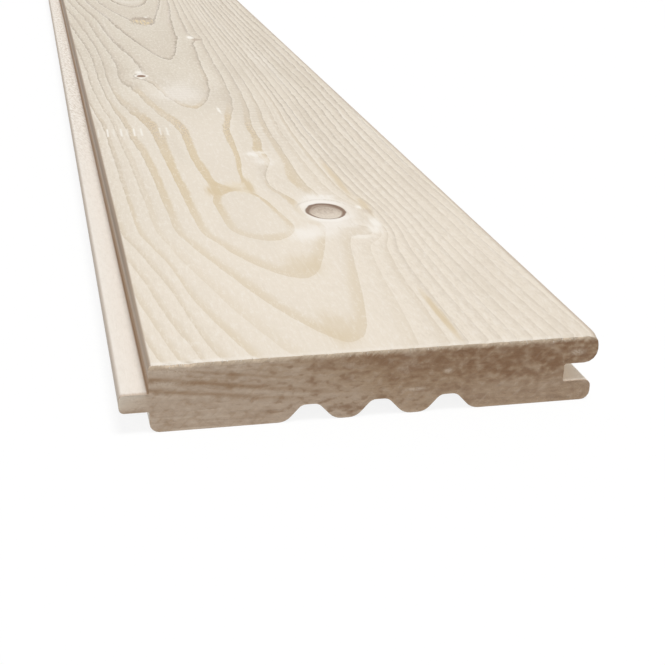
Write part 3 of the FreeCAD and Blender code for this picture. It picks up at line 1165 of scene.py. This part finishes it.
def planed_material(rings_tree, fibre_tree, mark_tree):
    """Planed spruce: growth rings, knots, a torn patch, knife ripple and ticks, and frayed sawn ends."""
    material, shader, place = new_material("planed spruce")
    across, along, depth = split(place)
    rings = place_group(rings_tree, {"Place": place})
    fibre = place_group(fibre_tree, {"Place": place})
    streak, cloud = fibre["Streak"], fibre["Cloud"]
    grit = noise(place, (0.7, 1.1, 0.7), 3.0, 0.6)
    sway = noise(place, (7.0, 9.0, 7.0), 3.0)
    wavy = vector("ADD", place, join((sway - 0.5) * 9.0, sway * 9.0, 0.0))
    wavy = vector("SUBTRACT", wavy, (0.0, 4.5, 0.0))
    wood, terrace = ring_colour(place, rings, fibre)
    wood = marked(wood, wavy, streak, mark_tree, RESIN_MARKS, RESIN)
    wood = marked(wood, place, streak, mark_tree, PLAIN_MARKS, PLAIN)
    wood = marked(wood, place, streak, mark_tree, RESIN_STREAKS, RESIN)
    wood = marked(wood, wavy, streak, mark_tree, PALE_MARKS, HALO)
    wood = marked(wood, place, streak, mark_tree, SMALL_PALE_MARKS, FIBRE_WHITE)
    wood = marked(wood, place, streak, mark_tree, SMALL_DARK_MARKS, KNOT_RING)
    wood = knot_colour(wood, place, rings, fibre, grit)
    wood, torn = torn_colour(wood, place, streak)
    on_face = step(depth, 1.0, 0.2)
    ticks = chatter(across, along) * on_face * step(grit, 0.2, 0.4, 0.3, 1.0)
    wood = mix(wood, FIBRE_WHITE, ticks * 0.9)
    wood = frayed_ends(wood, place, streak)
    knives = maths("SINE", along * (math.tau / KNIFE_PITCH)) * step(cloud, 0.4, 0.6)
    knives = knives * step(along, 150.0, 300.0)
    rippled = bell(across, 82.0, 16.0) * 0.2 + 0.16
    wood = mix(wood, LATEWOOD_GREY, step(knives, 0.2, 1.0) * on_face * rippled)
    # Painted shade on the shoulder wall, the tongue's root and tip, and the arrises
    wood = painted_edge_shade(wood, place, cloud)
    knotty = grit * step(rings["Knot"], 1.1, 0.9)
    height = terrace + streak * 0.05 + knives * 0.006 - ticks * 0.08 + knotty * 0.12 + torn * streak * 0.5
    feed(shader, {"Base Color": wood, "Roughness": step(streak, 0.2, 0.8, 0.5, 0.66)})
    feed(shader, {"Specular IOR Level": 0.32})
    bump(shader, height)
    return material


def end_ground(across, depth, groove_half, count, cloud, mottle):
    """Ground of the sawn end: darker towards the groove, with faint rings."""
    toward_groove = across + (cloud - 0.5) * 30.0 - depth * 2.0 + 4.0
    wood = mix(END_LIGHT, END_MIDDLE, step(toward_groove, 12.0, 62.0))
    dark = step(toward_groove, 45.0, 92.0) * step(mottle, 0.72, 0.36)
    wood = mix(wood, END_DARK, dark * step(depth, 17.0, 9.0, 0.35, 1.0))
    ring = step(maths("FRACT", count), 0.3, 0.98) * (ring_tone(count) * 0.6 + 0.1)
    ring = ring * step(mottle, 0.3, 0.6) * step(groove_half, 0.0, 1.0, 0.3, 0.18)
    return mix(wood, END_LINE, ring)


def end_mottle(wood, across, depth, tongue_half, blotch, mottle):
    """Blotches and finer mottle laid over the sawn end, paler above their middle and darker below it."""
    wood = mix(wood, END_LIGHT, step(blotch, 0.52, 0.7) * step(across, 80.0, 110.0, 0.55, 0.3))
    wood = mix(wood, END_LINE, step(blotch, 0.49, 0.32) * tongue_half * step(depth, 8.0, 13.0, 0.6, 0.2))
    wood = mix(wood, END_DARK, step(blotch, 0.49, 0.3) * step(across, 20.0, 60.0) * 0.8)
    wood = mix(wood, END_LIGHT, step(mottle, 0.52, 0.74) * step(across, 80.0, 110.0, 0.48, 0.32))
    wood = mix(wood, END_DARK, step(mottle, 0.48, 0.3) * step(across, 15.0, 50.0) * 0.65)
    wood = mix(wood, END_FLECK, step(mottle, 0.5, 0.72) * tongue_half * 0.4)
    return mix(wood, END_LINE, step(mottle, 0.48, 0.28) * tongue_half * 0.35)


def end_smear(wood, across, depth, tongue_half, groove_half, blotch, smear):
    """Smeared fibre over the sawn end: pale on the tongue and low in the groove half, and feathered."""
    lower = groove_half * step(depth + blotch * 6.0, 12.0, 19.0)
    wood = mix(wood, END_LIGHT, lower * 0.3)
    tongue = step(across, 0.0, -1.5)
    wood = mix(wood, END_FLECK, tongue * step(across, -1.0, -6.0, 0.4, 0.8))
    wood = mix(wood, END_FLECK, step(smear, 0.5, 0.8) * (lower * 0.15 + 0.15))
    wood = mix(wood, END_MIDDLE, step(smear, 0.48, 0.24) * tongue_half * 0.5)
    tip = step(across, 0.5, -1.0) * step(across + depth, 6.5, 3.0)
    wood = mix(wood, EARLYWOOD, tip * 0.6)
    upper_tip = tongue * step(depth + across * 0.35, 10.5, 7.0)
    wood = mix(wood, EARLYWOOD, upper_tip * 0.9)
    return mix(wood, END_DARK, tongue * step(depth, 12.6, 14.4) * 0.45)


def sawn_material(rings_tree, fibre_tree, mark_tree):
    """Sawn end grain: darker than the face, with bowed rings, dragged fibre, flecks and a frayed rim."""
    material, shader, place = new_material("sawn end grain")
    across, along, depth = split(place)
    count = place_group(rings_tree, {"Place": place})["Rings"]
    cloud = place_group(fibre_tree, {"Place": place})["Cloud"]
    mottle = noise(place, (3.0, 9.0, 2.0), 1.5)
    blotch = noise(place, (9.0, 9.0, 4.0), 2.0)
    fuzz = noise(place, (0.7, 2.0, 0.6), 2.0, 0.6)
    drag = noise(place, (24.0, 9.0, 1.3), 2.0)
    smear = noise(join(across + depth, along, depth - across), (1.5, 9.0, 8.0), 2.0)
    tongue_half = step(across, 62.0, 18.0)
    groove_half = step(across, 50.0, 105.0)
    wood = end_ground(across, depth, groove_half, count, cloud, mottle)
    wood = mix(wood, END_FLECK, step(drag, 0.46, 0.3) * tongue_half * 0.65)
    wood = end_mottle(wood, across, depth, tongue_half, blotch, mottle)
    level = depth - across * SAWN_STREAKS_RISE + (mottle + drag - 1.0) * 0.7
    for middle, half, share in SAWN_STREAKS:
        streaked = bell(level, middle, half) * tongue_half * step(cloud, 0.2, 0.5, 0.6, 1.0)
        wood = mix(wood, END_LINE, streaked * share)
    wood = end_smear(wood, across, depth, tongue_half, groove_half, blotch, smear)
    fleck = step(fuzz, 0.58, 0.76) * step(mottle, 0.4, 0.62)
    wood = mix(wood, END_FLECK, fleck * 0.4)
    for marks, tint in ((SAWN_SHADES, END_DARK), (SAWN_FLECKS, END_FLECK)):
        for mark_across, mark_depth, reach_across, reach_down, share in marks:
            inputs = {"Place": join(across, depth, 0.0), "Centre": (mark_across, mark_depth, 0.0)}
            inputs["Reach"] = (reach_across, reach_down, 1.0)
            mask = place_group(mark_tree, inputs)["Mask"]
            wood = mix(wood, tint, mask * step(fuzz, 0.2, 0.6) * share)
    frayed = step(depth - smear * 1.6 - fuzz * 1.2, 0.8, -1.3)
    wood = mix(wood, FRAY, frayed * 0.9)
    height = mottle * 0.25 + fuzz * 0.12 + smear * 0.15 + drag * 0.2
    feed(shader, {"Base Color": wood, "Roughness": step(fuzz, 0.2, 0.8, 0.78, 0.92)})
    feed(shader, {"Specular IOR Level": 0.15})
    bump(shader, height)
    return material


def torn_material(fibre_tree):
    """Loose fibre: near white, with tan streaks along it."""
    material, shader, place = new_material("torn fibre")
    fibre = place_group(fibre_tree, {"Place": place})
    streak, cloud = fibre["Streak"], fibre["Cloud"]
    feed(shader, {"Base Color": mix(FIBRE_WHITE, LATEWOOD_GREY, step(streak, 0.35, 0.7))})
    feed(shader, {"Roughness": step(cloud, 0.3, 0.7, 0.7, 0.85), "Specular IOR Level": 0.2})
    bump(shader, streak * 0.05)
    return material


# Floor, light and camera
FLOOR_FIRST_RADIUS = 0.02
FLOOR_RADIUS = 60.0
FLOOR_RINGS = 12
FLOOR_SIDES = 96
FLOOR_GAP = 0.05
FLOOR_WHITE = 0.78
FLOOR_GLOW = 0.87
FLOOR_SHADE = 0.13
SKY_LIGHT = 0.40
LAMP_STRENGTH = 2.0
LAMP_SPREAD = math.radians(24)
LAMP_FROM_FRONT = math.radians(8)
LAMP_FROM_RIGHT = math.radians(5)
CAMERA_PLACE = (-0.08986, -2.5838, 0.1676)
CAMERA_HEADING = math.radians(13.337)
CAMERA_DOWN = math.radians(22.246)
CAMERA_ROLL = math.radians(1.464)
CAMERA_LENS = 70.48
CAMERA_SENSOR = 36.0
CAMERA_CLIP = (0.01, 200.0)


def grey(level):
    """An even grey of that level, as a socket takes it."""
    return (level, level, level, 1.0)


def seen(tree):
    """1 for what the camera sees, straight or by way of a mirror or glass."""
    path = new_node(tree, "LightPath", {}).outputs
    mirrored = most(Wire(path["Is Glossy Ray"]), Wire(path["Is Transmission Ray"]))
    return most(Wire(path["Is Camera Ray"]), mirrored)


def make_floor():
    """A wide level disc under the board, its rings growing by a factor: white, with a pale shadow."""
    radius = np.geomspace(FLOOR_FIRST_RADIUS, FLOOR_RADIUS, FLOOR_RINGS) / MM
    angle = np.arange(FLOOR_SIDES) * math.tau / FLOOR_SIDES
    x = radius[:, None] * np.cos(angle)
    y = radius[:, None] * np.sin(angle)
    points = np.stack([x, y, 0.0 * x + UNDERSIDE_Z - FLOOR_GAP], axis=-1).reshape(-1, 3) * MM
    faces = quads_between(FLOOR_RINGS, FLOOR_SIDES).tolist() + [list(range(FLOOR_SIDES))]
    mesh = bpy.data.meshes.new("floor")
    mesh.from_pydata(points.tolist(), [], faces)
    floor = bpy.data.objects.new("floor", mesh)
    bpy.context.scene.collection.objects.link(floor)
    material = bpy.data.materials.new("pale floor")
    material.use_nodes = True
    tree = material.node_tree
    tree.nodes.clear()
    matte = Wire(new_node(tree, "BsdfDiffuse", {"Color": grey(FLOOR_WHITE)}).outputs[0])
    glow = Wire(new_node(tree, "Emission", {"Color": grey(1.0), "Strength": FLOOR_GLOW}).outputs[0])
    shade = Wire(new_node(tree, "BsdfDiffuse", {"Color": grey(FLOOR_SHADE)}).outputs[0])
    white = worked("AddShader", {0: glow, 1: shade})
    both = worked("MixShader", {0: seen(tree), 1: matte, 2: white})
    new_node(tree, "OutputMaterial", {"Surface": both})
    mesh.materials.append(material)


def make_light():
    """One soft lamp above, a little to the front and the right, and an even sky that shows white."""
    lamp = bpy.data.lights.new("overhead", "SUN")
    lamp.energy = LAMP_STRENGTH
    lamp.angle = LAMP_SPREAD
    holder = bpy.data.objects.new("overhead", lamp)
    holder.rotation_euler = (LAMP_FROM_FRONT, LAMP_FROM_RIGHT, 0.0)
    bpy.context.scene.collection.objects.link(holder)
    world = bpy.data.worlds.new("white room")
    world.use_nodes = True
    strength = step(seen(world.node_tree), 0.0, 1.0, SKY_LIGHT, 1.0)
    sky = world.node_tree.nodes["Background"]
    feed(sky, {"Color": grey(1.0), "Strength": strength})
    bpy.context.scene.world = world


def make_camera():
    """A camera at the photograph's place: turned from +Y to its heading, tipped down and rolled."""
    data = bpy.data.cameras.new("camera")
    data.lens = CAMERA_LENS
    data.sensor_width = CAMERA_SENSOR
    data.clip_start, data.clip_end = CAMERA_CLIP
    camera = bpy.data.objects.new("camera", data)
    turn = Matrix.Rotation(-CAMERA_HEADING, 4, "Z")
    tip = Matrix.Rotation(math.pi / 2 - CAMERA_DOWN, 4, "X")
    roll = Matrix.Rotation(CAMERA_ROLL, 4, "Z")
    camera.matrix_world = Matrix.Translation(CAMERA_PLACE) @ turn @ tip @ roll
    bpy.context.scene.collection.objects.link(camera)
    bpy.context.scene.camera = camera


rings_tree = rings_group(knot_group())
fibre_tree = fibre_group()
mark_tree = mark_group()
planed_wood = planed_material(rings_tree, fibre_tree, mark_tree)
sawn_wood = sawn_material(rings_tree, fibre_tree, mark_tree)
make_board(planed_wood, sawn_wood)
make_fibres(torn_material(fibre_tree))
make_floor()
make_light()
make_camera()
bpy.context.scene.view_settings.view_transform = "Standard"
